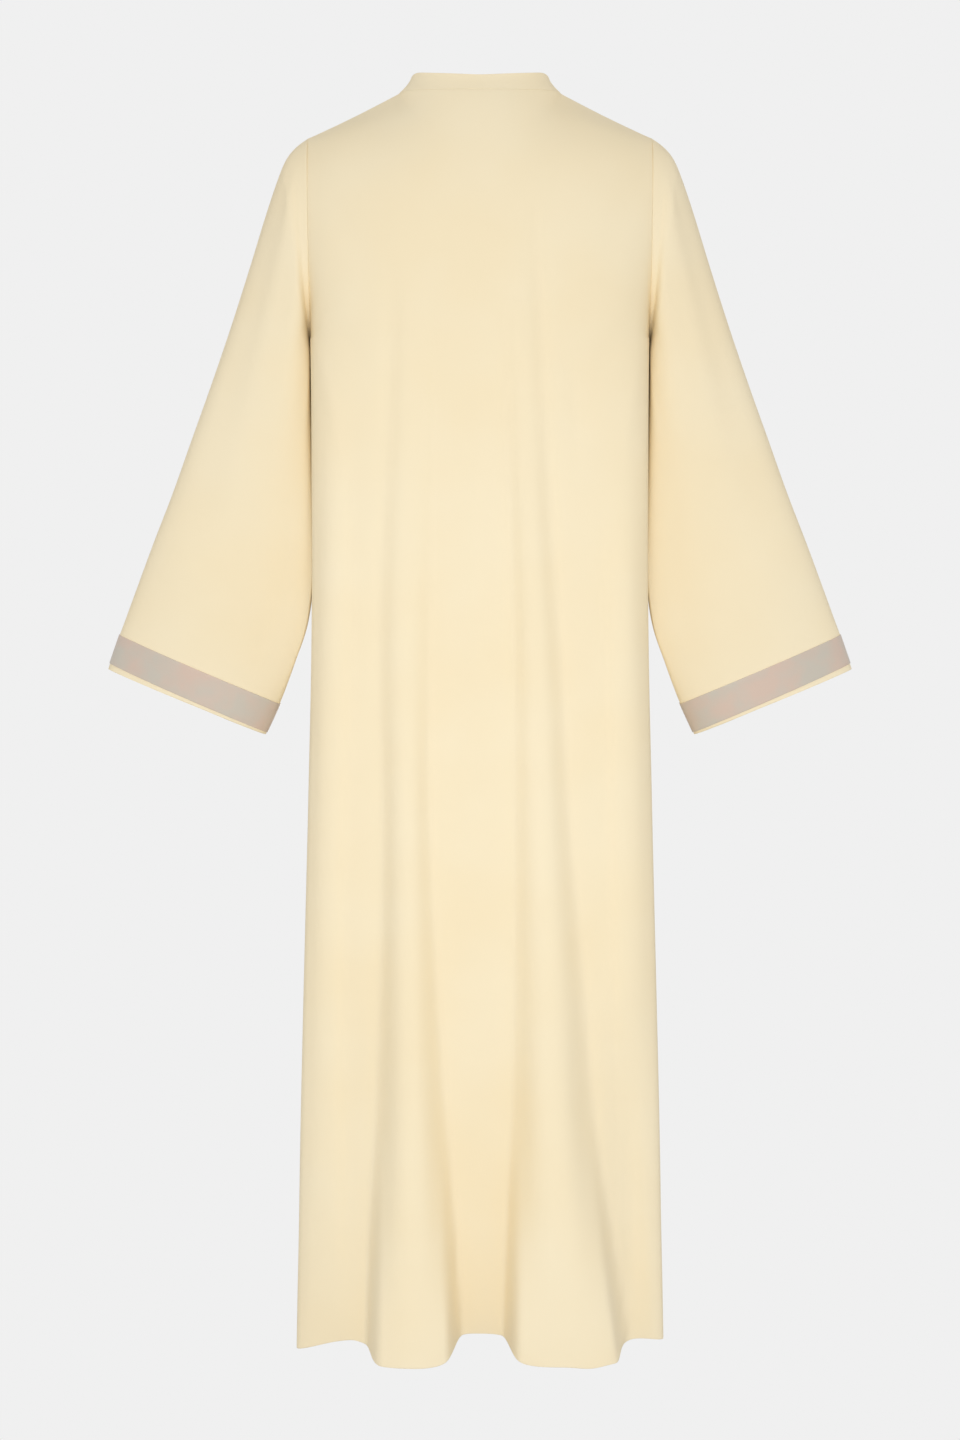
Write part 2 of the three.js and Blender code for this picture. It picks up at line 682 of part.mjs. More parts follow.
// The band lies on the sleeve: it is made from the sleeve's own rings, moved out
function bandGeometry(grid) {
  const points = grid.points.slice(bandFirstRow, bandLastRow + 1);
  const normals = grid.normals.slice(bandFirstRow, bandLastRow + 1);
  const start = clothWall / 2 + bandClearance;
  return wallGeometry(points, normals, -start, start + bandWall, true);
}

// A standing strip round the neckline that laps at the centre front with the panels
function collarGeometry() {
  const lapTurn = Math.asin(lapHalfWidth / neckHalfWidth);
  const turns = [-halfTurn - lapTurn, -halfTurn, -halfTurn + lapTurn];
  for (let j = 2 - 2 * neckColumns; j <= 2 * neckColumns - 2; j += 1) {
    turns.push(quarterTurn * j / neckColumns);
  }
  turns.push(halfTurn - lapTurn, halfTurn, halfTurn + lapTurn);
  const rows = [0, 0.5, 1];
  const points = [];
  const normals = [];
  for (const share of rows) {
    const line = [];
    const directions = [];
    for (const turn of turns) {
      const base = neckPoint(turn);
      const normal = neckNormal(turn);
      const flat = new THREE.Vector3(normal.x, normal.y, 0).normalize();
      const place = THREE.MathUtils.radToDeg(Math.abs(turn));
      const rise = readTable(collarTable, 'turn', place, 'rise');
      const lean = readTable(collarTable, 'turn', place, 'lean');
      const bend = 1 - Math.pow(1 - share, collarCurve);
      const level = new THREE.Vector3(0, 0, rise * share).addScaledVector(flat, -lean * bend);
      const facing = new THREE.Vector3(0, 0, lean).addScaledVector(flat, rise).normalize();
      const direction = normal.clone().lerp(facing, smoothStep(share * 2)).normalize();
      const over = turn < 0 ? lapLift * smoothStep((-turn - 2.6) / 0.3) : 0;
      const at = base.add(level).addScaledVector(direction, over);
      line.push(at);
      directions.push(direction);
    }
    points.push(line);
    normals.push(directions);
  }
  const opened = openSeam(points, normals, { top: true, start: false, end: false });
  return wallGeometry(opened, normals, clothWall / 2, clothWall / 2, false);
}

const creamCloth = { color: 0xf2e3c0, roughness: 0.85, metalness: 0 };
const taupeSatin = { color: 0xcdbda2, roughness: 0.45, metalness: 0 };

function addPiece(group, name, geometry, look) {
  const mesh = new THREE.Mesh(geometry, new THREE.MeshStandardMaterial(look));
  mesh.name = name;
  group.add(mesh);
}

const abaya = new THREE.Group();
const leftSleeve = sleeveGrid();
const rightSleeve = mirrored(leftSleeve);
addPiece(abaya, 'back', panelGeometry(backColumns, 1, false), creamCloth);
addPiece(abaya, 'front_left', panelGeometry((row) => frontColumns(1, row), -1, false), creamCloth);
addPiece(abaya, 'front_right', panelGeometry((row) => frontColumns(-1, row), -1, true), creamCloth);
addPiece(abaya, 'sleeve_left', sleeveGeometry(leftSleeve), creamCloth);
addPiece(abaya, 'sleeve_right', sleeveGeometry(rightSleeve), creamCloth);
addPiece(abaya, 'cuff_band_left', bandGeometry(leftSleeve), taupeSatin);
addPiece(abaya, 'cuff_band_right', bandGeometry(rightSleeve), taupeSatin);
addPiece(abaya, 'collar', collarGeometry(), creamCloth);

export default abaya;
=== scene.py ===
# A long closed abaya with a stand collar, set-in sleeves and a satin band on each cuff.
# It is filled out as if worn. The tables are in millimetres and the finished meshes in metres.
import math
import random

import bmesh
import bpy
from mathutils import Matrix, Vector


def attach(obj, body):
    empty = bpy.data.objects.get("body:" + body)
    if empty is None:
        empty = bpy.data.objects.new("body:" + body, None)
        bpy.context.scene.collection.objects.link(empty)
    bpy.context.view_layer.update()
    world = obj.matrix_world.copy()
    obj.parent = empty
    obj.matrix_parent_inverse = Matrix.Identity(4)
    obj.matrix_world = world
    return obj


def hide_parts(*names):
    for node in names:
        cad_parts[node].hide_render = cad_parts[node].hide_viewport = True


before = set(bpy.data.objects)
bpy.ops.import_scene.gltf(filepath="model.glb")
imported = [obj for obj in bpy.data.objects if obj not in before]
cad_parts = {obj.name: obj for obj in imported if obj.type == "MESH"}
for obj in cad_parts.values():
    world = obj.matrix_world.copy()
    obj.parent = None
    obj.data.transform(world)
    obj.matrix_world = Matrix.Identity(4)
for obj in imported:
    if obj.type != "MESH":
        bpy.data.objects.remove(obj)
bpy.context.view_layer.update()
mm = 0.001
halfTurn = math.pi
quarterTurn = math.pi / 2
print("frame loaded")


# Small helpers for the tables
def clamp(value, low=0.0, high=1.0):
    return max(low, min(high, value))


def smoothStep(value):
    t = clamp(value)
    return t * t * (3 - 2 * t)


def mix(a, b, t):
    return a + (b - a) * t


def bump(value, width):
    return math.exp(-(value / width) ** 2)


def tableCurves(names, rows):
    # Smooth curves through a table's columns; the first column is where each row stands
    sign = 1 if rows[-1][0] > rows[0][0] else -1
    keys = [sign * row[0] for row in rows]
    last = len(rows) - 1

    def curveOf(number):
        values = [row[number] for row in rows]
        slopes = []
        for n in range(last + 1):
            low, high = max(0, n - 1), min(last, n + 1)
            slopes.append((values[high] - values[low]) / (keys[high] - keys[low]))

        def read(at):
            at = clamp(sign * at, keys[0], keys[-1])
            i = 0
            while i < last - 1 and at > keys[i + 1]:
                i += 1
            span = keys[i + 1] - keys[i]
            t = (at - keys[i]) / span
            t2, t3 = t * t, t * t * t
            return ((2 * t3 - 3 * t2 + 1) * values[i] + (t3 - 2 * t2 + t) * span * slopes[i]
                    + (3 * t2 - 2 * t3) * values[i + 1] + (t3 - t2) * span * slopes[i + 1])
        return read
    return {name: curveOf(number) for number, name in enumerate(names) if number}


# The cut that all pieces share
cut = dict(
    wall=1.7, seamGap=0.06, grooveDepth=0.14, grooveWidth=3.2, seamClear=4, seamEase=25,
    armholeX=181, shoulderX=184.5, shoulderZ=-60, shoulderBow=-1, underarmZ=-273,
    armholeHalfDepth=62, armholeCurve=6, hemLevel=-1382, hemFall=3,
)
shoulderSeam = dict(neckTilt=0.7, tipTilt=0.4, rise=0.85)
neckline = dict(
    halfWidth=86, backDepth=58, frontDepth=68, sideHeight=-12, backHeight=-15, frontHeight=-48,
    backCurve=2, frontCurve=1.6, backRise=0.36, frontRise=0.41, sideRise=0.68,
)
yokeRows = 10
yokeOpenRow = 4
chestFirstRow = 3
chestRows = 4
neckColumns = 12
shoulderColumns = 14
halfColumns = neckColumns + shoulderColumns
guideRings = 6
yokeAngle = 0.62
columnBias = 0.7
seamBlur = 1.15
armholeEaseStart = 0.6
underarmEaseStart = 0.88

yoke = tableCurves(("row", "backY", "backZ", "frontY", "frontZ", "pull"), [
    (0, 58, -15, 68, -48, 1.0),
    (1, 70, -38, 76, -62, 0.5),
    (2, 81, -64, 86, -80, 0.24),
    (3, 90, -92, 95, -102, 0.09),
    (4, 97, -123, 102, -129, 0.02),
    (5, 102, -156, 107, -158, 0),
    (6, 105, -188, 110, -189, 0),
    (7, 107, -217, 112, -217, 0),
    (8, 108, -241, 113, -241, 0),
    (9, 109, -260, 114, -260, 0),
    (10, 109, -273, 114, -273, 0),
])

bodyRows = [
    (-120, 190.5, 0, 97, 101, 0.45, 0.47),
    (-160, 190.8, 0, 102.5, 107.5, 0.45, 0.47),
    (-200, 188, 0, 106, 110.5, 0.45, 0.47),
    (-229, 184.3, 0, 107.5, 112.3, 0.45, 0.48),
    (-252.6, 181.6, 0, 108.5, 113.5, 0.42, 0.5),
    (-266, 181.1, 0, 109, 114, 0.41, 0.52),
    (-273, 181, 0, 109, 114, 0.4, 0.54),
    (-290, 180.5, 5, 109, 114, 0.4, 0.58),
    (-315, 179.9, 15, 109, 114, 0.4, 0.62),
    (-365, 179.3, 29, 109, 114, 0.39, 0.68),
    (-430, 179.2, 39, 108, 113, 0.38, 0.73),
    (-500, 179.3, 43, 107, 112, 0.37, 0.75),
    (-575, 180, 44, 105, 110, 0.37, 0.76),
    (-650, 181.6, 43, 102, 108, 0.38, 0.77),
    (-725, 184, 41, 99, 106, 0.4, 0.77),
    (-800, 186.4, 38, 95, 104, 0.42, 0.77),
    (-875, 189, 36, 91, 102, 0.44, 0.78),
    (-950, 191.7, 33, 86, 100, 0.46, 0.78),
    (-1025, 194.4, 29, 80, 98, 0.48, 0.78),
    (-1100, 197, 25, 73, 96, 0.5, 0.78),
    (-1175, 199.3, 21, 66, 94, 0.5, 0.79),
    (-1250, 201.3, 17, 58, 92, 0.5, 0.8),
    (-1320, 203.6, 13, 50, 90, 0.5, 0.8),
    (-1382, 205.4, 10, 43, 88, 0.5, 0.8),
]
body = tableCurves(
    ("z", "halfWidth", "sideY", "backY", "frontY", "backFull", "frontFull"), bodyRows)

# Long hanging folds: each row is the height and the fold's two edges and rise there. From
# squareTop down to the hem their sides grow steeper and their crests flatter
foldShape = dict(
    squareTop=-1080, squareSides=0.3, squareShare=0.84, softPower=1.4, softShare=0.55,
    edgeFade=12,
)
foldNames = ("z", "start", "end", "rise")
backFolds = [
    [(-230, 46, 96, 0), (-400, 48, 99, 5), (-560, 52, 108, 9), (-760, 54, 104, 15),
     (-960, 46, 108, 24), (-1160, 34, 116, 40), (-1382, 23, 124, 67)],
    [(-170, -58, -20, 0), (-400, -72, -27, 6), (-560, -84, -34, 10), (-760, -94, -36, 16),
     (-960, -112, -36, 25), (-1160, -130, -33, 41), (-1382, -166, -27.5, 67)],
    [(-300, 134, 172, 0), (-560, 134, 178, 5), (-960, 146, 186, 4), (-1382, 150, 198, 0)],
    [(-400, -176, -126, 0), (-600, -178, -128, 6), (-960, -186, -140, 4), (-1382, -196, -160, 0)],
]
frontFolds = [
    [(-300, 40, 88, 0), (-760, 36, 92, 8), (-1382, 26, 98, 31)],
    [(-300, -88, -42, 0), (-760, -94, -38, 9), (-1382, -104, -28, 33)],
    [(-420, 118, 160, 0), (-900, 118, 168, 7), (-1382, 112, 184, 22)],
    [(-380, -164, -120, 0), (-900, -170, -118, 7), (-1382, -182, -114, 20)],
]
foldSets = {
    1: [(rows[0][0], tableCurves(foldNames, rows)) for rows in backFolds],
    -1: [(rows[0][0], tableCurves(foldNames, rows)) for rows in frontFolds],
}
hem = tableCurves(("angle", "drop"), [
    (-180, 4), (-140, 5), (-90, 1), (-66, -2), (-44, 1), (-36, 3.5), (-28, 1), (-14, -1),
    (-7, -12), (0, -14), (6, -12), (12, 0), (24, 2), (36, 1), (44, -5), (70, 7),
    (90, 11.5), (140, 5), (180, 4),
])

sleeveRows = [
    (0, 184.5, -60, 181, -273, 0, 62, 0, 1),
    (1, 196.6, -69.1, 183.8, -275.5, 7, 64, 0, 0.94),
    (2, 205.8, -80.4, 183.4, -281, 15, 65, 0, 0.8),
    (3, 213.8, -98.5, 183, -291, 21, 64, 0, 0.64),
    (4, 228, -139, 182.6, -311, 25, 61, 0, 0.56),
    (5, 247, -198, 182.2, -345, 28, 58, -1, 0.52),
    (6, 268.2, -261, 181.8, -388, 30, 55, -2, 0.5),
    (7, 290.2, -322, 181.6, -434, 33, 51, -3, 0.5),
    (8, 312.4, -381, 181.5, -482, 34, 48, -4, 0.5),
    (9, 333.8, -438, 181.6, -534, 34, 45, -6, 0.52),
    (10, 355.4, -491, 188.4, -582, 28, 43, -8, 0.55),
    (11, 373.8, -538, 201.8, -620, 18, 40, -10, 0.6),
    (12, 387, -572, 212, -647, 6, 38, -12, 0.64),
    (13, 395.4, -594, 221, -669, -4, 36.5, -13, 0.66),
    (14, 406.8, -625.5, 236, -701, -10, 35, -14, 0.66),
    (15, 409, -632, 236.8, -703, -12, 34.5, -14, 0.66),
]
sleeve = tableCurves(
    ("row", "outerX", "outerZ", "innerX", "innerZ", "innerY", "halfDepth", "centreY", "power"),
    sleeveRows)


# The surface of the body
def foldHeight(face, x, z):
    total = 0.0
    for top, fold in foldSets[face]:
        if z < top:
            start, end = fold["start"](z), fold["end"](z)
            across = clamp((x - start) / (end - start))
            arch = math.sin(halfTurn * across)
            soft = mix(arch ** foldShape["softPower"], smoothStep(arch), foldShape["softShare"])
            steep = smoothStep(arch / foldShape["squareSides"])
            square = mix(arch, steep, foldShape["squareShare"])
            low = (z - foldShape["squareTop"]) / (cut["hemLevel"] - foldShape["squareTop"])
            total += max(0.0, fold["rise"](z)) * mix(soft, square, smoothStep(low))
    return total


def armholePoint(angle, face):
    middle = (cut["shoulderZ"] + cut["underarmZ"]) / 2
    half = (cut["shoulderZ"] - cut["underarmZ"]) / 2
    topShare = max(0.0, math.cos(angle / 2)) ** cut["armholeCurve"]
    x = mix(cut["armholeX"], cut["shoulderX"], topShare)
    y = face * cut["armholeHalfDepth"] * math.sin(angle)
    return Vector((x, y, middle + half * math.cos(angle)))


def armholeNormal(angle, face):
    return Vector((0, face * math.sin(angle), math.cos(angle)))


def neckPoint(turn):
    isBack = math.cos(turn) > 0
    depth = neckline["backDepth"] if isBack else neckline["frontDepth"]
    centre = neckline["backHeight"] if isBack else neckline["frontHeight"]
    share = abs(math.cos(turn)) ** neckline["backCurve" if isBack else "frontCurve"]
    return Vector((
        neckline["halfWidth"] * math.sin(turn), depth * math.cos(turn),
        mix(neckline["sideHeight"], centre, share)))


def neckNormal(turn):
    isBack = math.cos(turn) > 0
    middleRise = neckline["backRise" if isBack else "frontRise"]
    rise = mix(middleRise, neckline["sideRise"], math.sin(turn) ** 4)
    depth = neckline["backDepth"] if isBack else neckline["frontDepth"]
    radial = Vector((math.sin(turn) / neckline["halfWidth"], math.cos(turn) / depth, 0))
    radial = radial.normalized() * math.sqrt(1 - rise * rise)
    return Vector((radial.x, radial.y, rise))


def topEdge(column, face):
    side, step = math.copysign(1, column), abs(column)
    if step <= neckColumns:
        turn = quarterTurn * step / neckColumns
        at = neckPoint(turn if face > 0 else halfTurn - turn)
        return Vector((side * at.x, at.y, at.z))
    t = (step - neckColumns) / shoulderColumns
    x = mix(neckline["halfWidth"], cut["shoulderX"], t)
    bow = cut["shoulderBow"] * math.sin(halfTurn * t)
    return Vector((side * x, 0, mix(neckline["sideHeight"], cut["shoulderZ"], t) + bow))


def topEdgeNormal(column, face):
    side, step = math.copysign(1, column), abs(column)
    if step <= neckColumns:
        turn = quarterTurn * step / neckColumns
        at = neckNormal(turn if face > 0 else halfTurn - turn)
        return Vector((side * at.x, at.y, at.z))
    t = (step - neckColumns) / shoulderColumns
    tilt = mix(shoulderSeam["neckTilt"], shoulderSeam["tipTilt"], math.sqrt(t))
    return Vector((side * tilt, 0, shoulderSeam["rise"])).normalized()


def columnAngle(column):
    share = column / halfColumns
    return quarterTurn * (columnBias * share + (1 - columnBias) * share ** 3)


def bodyDepth(x, z, face):
    halfWidth, sideY = body["halfWidth"](z), body["sideY"](z)
    reach = body["backY" if face > 0 else "frontY"](z) - face * sideY
    power = body["backFull" if face > 0 else "frontFull"](z)
    across = min(1.0, abs(x) / halfWidth)
    fullness = max(0.0, 1 - across * across) ** (power / 2)
    fade = smoothStep((halfWidth - abs(x)) / foldShape["edgeFade"])
    return sideY + face * (reach * fullness + foldHeight(face, x, z) * fade)


def ringPoint(angle, z, face):
    x = body["halfWidth"](z) * math.sin(angle)
    turn = angle if face > 0 else math.copysign(halfTurn, angle) - angle
    drop = hem["drop"](math.degrees(turn))
    low = clamp((z - cut["underarmZ"]) / (cut["hemLevel"] - cut["underarmZ"]))
    return Vector((x, bodyDepth(x, z, face), z - drop * low ** cut["hemFall"]))


def yokePoint(column, row, face):
    step, side = abs(column), math.copysign(1, column)
    end = armholePoint(halfTurn * row / yokeRows, face)
    centreY = yoke["backY" if face > 0 else "frontY"](row)
    centreZ = yoke["backZ" if face > 0 else "frontZ"](row)
    spread = mix(yokeAngle, 1, smoothStep((row - yokeOpenRow) / (yokeRows - yokeOpenRow)))
    share = columnAngle(step) * spread
    x = end.x * math.sin(share) / math.sin(quarterTurn * spread)
    edgeCos = math.cos(quarterTurn * spread)
    fall = (math.cos(share) - edgeCos) / (1 - edgeCos)
    z = mix(end.z, centreZ, smoothStep(fall))
    shoulderY = end.y + (face * centreY - end.y) * max(0.0, fall)
    edgeError = end.y - bodyDepth(end.x, end.z, face)
    # The panel eases out to the armhole over a strip that narrows towards the underarm
    easeStart = mix(armholeEaseStart, underarmEaseStart, smoothStep(2 * row / yokeRows - 1))
    ease = smoothStep((step / halfColumns - easeStart) / (1 - easeStart))
    chestY = bodyDepth(side * x, z, face) + edgeError * ease
    chestShare = smoothStep((row - chestFirstRow) / chestRows)
    return Vector((side * x, mix(shoulderY, chestY, chestShare), z))


def panelPoint(column, row, face):
    if row > yokeRows:
        index = row - yokeRows + guideRings
        low = min(len(bodyRows) - 2, int(index))
        z = mix(bodyRows[low][0], bodyRows[low + 1][0], index - low)
        return ringPoint(columnAngle(column), z, face)
    base = yokePoint(column, row, face)
    pull = yoke["pull"](row)
    if pull > 0:
        for reach in (-2, -1, 0, 1, 2):
            near = clamp(column + reach * seamBlur * row, -halfColumns, halfColumns)
            base = base + (topEdge(near, face) - yokePoint(near, 0, face)) * (pull / 5)
    return base


lastRow = yokeRows + len(bodyRows) - 1 - guideRings


def panelNormal(column, row, face):
    if abs(column) >= halfColumns:
        if row <= yokeRows:
            return armholeNormal(halfTurn * row / yokeRows, face)
        return Vector((math.copysign(1, column), 0, 0))
    if row == 0:
        return topEdgeNormal(column, face)
    tiny = 0.05
    across = panelPoint(column + tiny, row, face) - panelPoint(column - tiny, row, face)
    down = (panelPoint(column, min(lastRow, row + tiny), face)
            - panelPoint(column, max(0, row - tiny), face))
    return (across.cross(down) * face).normalized()


# Moves the edge points of a grid half of the seam's gap back into their own piece
def openSeams(points, normals, edges):
    rows, columns = len(points), len(points[0])
    moved = [[at.copy() for at in line] for line in points]

    def pullBack(i, j, before, after, within):
        along = points[after[0]][after[1]] - points[before[0]][before[1]]
        away = along.cross(normals[i][j]).normalized()
        if away.dot(points[within[0]][within[1]] - points[i][j]) < 0:
            away = -away
        moved[i][j] += away * (cut["seamGap"] * 0.55)

    if "top" in edges:
        for j in range(columns):
            pullBack(0, j, (0, max(0, j - 1)), (0, min(columns - 1, j + 1)), (1, j))
    for i in range(rows):
        before, after = max(0, i - 1), min(rows - 1, i + 1)
        if "start" in edges:
            pullBack(i, 0, (before, 0), (after, 0), (i, 1))
        if "end" in edges:
            end = columns - 1
            pullBack(i, end, (before, end), (after, end), (i, end - 1))
    return moved


# How far each point lies along its row and down its column
def arcLengths(points):
    across = [[0.0] * len(points[0]) for _ in points]
    down = [[0.0] * len(points[0]) for _ in points]
    for i, line in enumerate(points):
        for j, at in enumerate(line):
            if j:
                across[i][j] = across[i][j - 1] + (at - line[j - 1]).length
            if i:
                down[i][j] = down[i - 1][j] + (at - points[i - 1][j]).length
    return across, down


# One grid wrapped round a wall of cloth: down its outside, under the edge and up its inside
def clothShell(name, points, normals, material, node, inside=None, outside=None,
               ring=False):
    inside = cut["wall"] / 2 if inside is None else inside
    outside = cut["wall"] / 2 if outside is None else outside
    middle = (outside - inside) / 2
    rows, columns = len(points), len(points[0])
    across, down = arcLengths(points)
    wraps = [(i, outside) for i in range(rows)] + [(rows - 1, middle)]
    wraps += [(i, -inside) for i in reversed(range(rows))] + [(0, middle), (0, outside)]
    places = list(range(columns)) if ring else [0, *range(columns), columns - 1]
    bm = bmesh.new()
    uvLayer = bm.loops.layers.uv.new("cloth")
    bmesh.ops.create_grid(bm, x_segments=len(places) - 1, y_segments=len(wraps) - 1, size=1)
    order = sorted(bm.verts, key=lambda v: (round(v.co.y, 6), round(v.co.x, 6)))
    for number, vert in enumerate(order):
        wrap, place = divmod(number, len(places))
        i, reach = wraps[wrap]
        j = places[place]
        if not ring and place in (0, len(places) - 1):
            reach = middle
        vert.co = (points[i][j] + normals[i][j] * reach) * mm
        for loop in vert.link_loops:
            loop[uvLayer].uv = (across[i][j] * mm, -down[i][j] * mm)
    bmesh.ops.remove_doubles(bm, verts=bm.verts, dist=1e-6)
    bmesh.ops.recalc_face_normals(bm, faces=bm.faces)
    for face in bm.faces:
        face.smooth = True
    mesh = bpy.data.meshes.new(name)
    bm.to_mesh(mesh)
    bm.free()
    piece = bpy.data.objects.new(name, mesh)
    bpy.context.collection.objects.link(piece)
    mesh.materials.append(material)
    smooth = piece.modifiers.new("smooth", "SUBSURF")
    smooth.levels = 1
    smooth.render_levels = 1
    smooth.uv_smooth = "PRESERVE_BOUNDARIES"
    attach(piece, "root")
    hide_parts(node)
    print(name, len(mesh.polygons), "faces")
    return piece


# Creases listed one by one. Each runs from one place to another with a bow, a half width and a
# rise, which is negative for a trough
def creaseHeight(creases, u, v):
    total = 0.0
    for fromU, fromV, toU, toV, bow, width, rise in creases:
        alongU, alongV = toU - fromU, toV - fromV
        length = math.hypot(alongU, alongV)
        t = ((u - fromU) * alongU + (v - fromV) * alongV) / (length * length)
        if -0.05 < t < 1.05:
            t = clamp(t)
            off = ((u - fromU) * alongV - (v - fromV) * alongU) / length - bow * 4 * t * (1 - t)
            if abs(off) < 3 * width:
                total += rise * bump(off, width) * math.sin(halfTurn * t) ** 0.8
    return total


unevenValues = dict(waves=5, shortest=70, longest=240, slant=0.5, turn=6.28)


def unevenness(u, v, seed, size):
    source = random.Random(seed)
    turn = unevenValues["turn"]
    total = 0.0
    for n in range(unevenValues["waves"]):
        wave = source.uniform(unevenValues["shortest"], unevenValues["longest"])
        heading = source.uniform(-unevenValues["slant"], unevenValues["slant"])
        phase = source.uniform(0, turn)
        along = u * math.cos(heading) + v * math.sin(heading) * 0.5
        total += math.sin(along * turn / wave + phase)
    return total * size / unevenValues["waves"]


# Materials
def newMaterial(name):
    material = bpy.data.materials.new(name)
    material.use_nodes = True
    return material, material.node_tree.nodes, material.node_tree.links


weaveValues = dict(pebbleScale=620, pebbleDetail=3, toneScale=7, toneDetail=2)


def clothWeave():
    group = bpy.data.node_groups.new("clothWeave", "ShaderNodeTree")
    for name, value in (("Thread Pitch", 0.0008), ("Slub", 0.4)):
        socket = group.interface.new_socket(name=name, in_out="INPUT", socket_type="NodeSocketFloat")
        socket.default_value = value
    for name in ("Height", "Tone"):
        group.interface.new_socket(name=name, in_out="OUTPUT", socket_type="NodeSocketFloat")
    nodes, links = group.nodes, group.links
    inputs = nodes.new("NodeGroupInput")
    outputs = nodes.new("NodeGroupOutput")
    uv = nodes.new("ShaderNodeUVMap")
    uv.uv_map = "cloth"
    split = nodes.new("ShaderNodeSeparateXYZ")
    links.new(uv.outputs["UV"], split.inputs["Vector"])
    threads = []
    for axis in ("X", "Y"):
        count = nodes.new("ShaderNodeMath")
        count.operation = "DIVIDE"
        links.new(split.outputs[axis], count.inputs[0])
        links.new(inputs.outputs["Thread Pitch"], count.inputs[1])
        turn = nodes.new("ShaderNodeMath")
        turn.operation = "MULTIPLY"
        turn.inputs[1].default_value = 2 * math.pi
        links.new(count.outputs[0], turn.inputs[0])
        wave = nodes.new("ShaderNodeMath")
        wave.operation = "SINE"
        links.new(turn.outputs[0], wave.inputs[0])
        threads.append(wave)
    cross = nodes.new("ShaderNodeMath")
    cross.operation = "MULTIPLY"
    links.new(threads[0].outputs[0], cross.inputs[0])
    links.new(threads[1].outputs[0], cross.inputs[1])
    pebble = nodes.new("ShaderNodeTexNoise")
    pebble.inputs["Scale"].default_value = weaveValues["pebbleScale"]
    pebble.inputs["Detail"].default_value = weaveValues["pebbleDetail"]
    links.new(uv.outputs["UV"], pebble.inputs["Vector"])
    blend = nodes.new("ShaderNodeMix")
    links.new(inputs.outputs["Slub"], blend.inputs["Factor"])
    links.new(cross.outputs[0], blend.inputs["A"])
    links.new(pebble.outputs["Fac"], blend.inputs["B"])
    links.new(blend.outputs["Result"], outputs.inputs["Height"])
    tone = nodes.new("ShaderNodeTexNoise")
    tone.inputs["Scale"].default_value = weaveValues["toneScale"]
    tone.inputs["Detail"].default_value = weaveValues["toneDetail"]
    coords = nodes.new("ShaderNodeTexCoord")
    links.new(coords.outputs["Object"], tone.inputs["Vector"])
    links.new(tone.outputs["Fac"], outputs.inputs["Tone"])
    return group


weaveGroup = clothWeave()

creamValues = dict(
    light=(0.902, 0.785, 0.555), warm=(0.895, 0.765, 0.522), roughness=0.82, sheen=0.05,
    sheenTint=(1, 0.93, 0.8, 1), specular=0.3, toneLow=0.35, toneHigh=0.65,
    pitch=0.0009, slub=0.6, bumpStrength=0.25, bumpDistance=0.00018,
)
satinValues = dict(
    light=(0.56, 0.51, 0.43), warm=(0.63, 0.485, 0.395), roughness=0.42,
    patchScale=27, patchLow=0.4, patchHigh=0.68,
    pitch=0.0006, slub=0.3, bumpStrength=0.2, bumpDistance=0.0001,
)


def creamCrepe():
    material, nodes, links = newMaterial("creamCrepe")
    shader = nodes["Principled BSDF"]
    weave = nodes.new("ShaderNodeGroup")
    weave.node_tree = weaveGroup
    weave.inputs["Thread Pitch"].default_value = creamValues["pitch"]
    weave.inputs["Slub"].default_value = creamValues["slub"]
    spread = nodes.new("ShaderNodeMapRange")
    spread.inputs["From Min"].default_value = creamValues["toneLow"]
    spread.inputs["From Max"].default_value = creamValues["toneHigh"]
    links.new(weave.outputs["Tone"], spread.inputs["Value"])
    colour = nodes.new("ShaderNodeMix")
    colour.data_type = "RGBA"
    colour.inputs["A"].default_value = (*creamValues["light"], 1)
    colour.inputs["B"].default_value = (*creamValues["warm"], 1)
    links.new(spread.outputs["Result"], colour.inputs["Factor"])
    links.new(colour.outputs["Result"], shader.inputs["Base Color"])
    relief = nodes.new("ShaderNodeBump")
    relief.inputs["Strength"].default_value = creamValues["bumpStrength"]
    relief.inputs["Distance"].default_value = creamValues["bumpDistance"]
    links.new(weave.outputs["Height"], relief.inputs["Height"])
    links.new(relief.outputs["Normal"], shader.inputs["Normal"])
    shader.inputs["Roughness"].default_value = creamValues["roughness"]
    shader.inputs["Sheen Weight"].default_value = creamValues["sheen"]
    shader.inputs["Sheen Tint"].default_value = creamValues["sheenTint"]
    shader.inputs["Specular IOR Level"].default_value = creamValues["specular"]
    return material


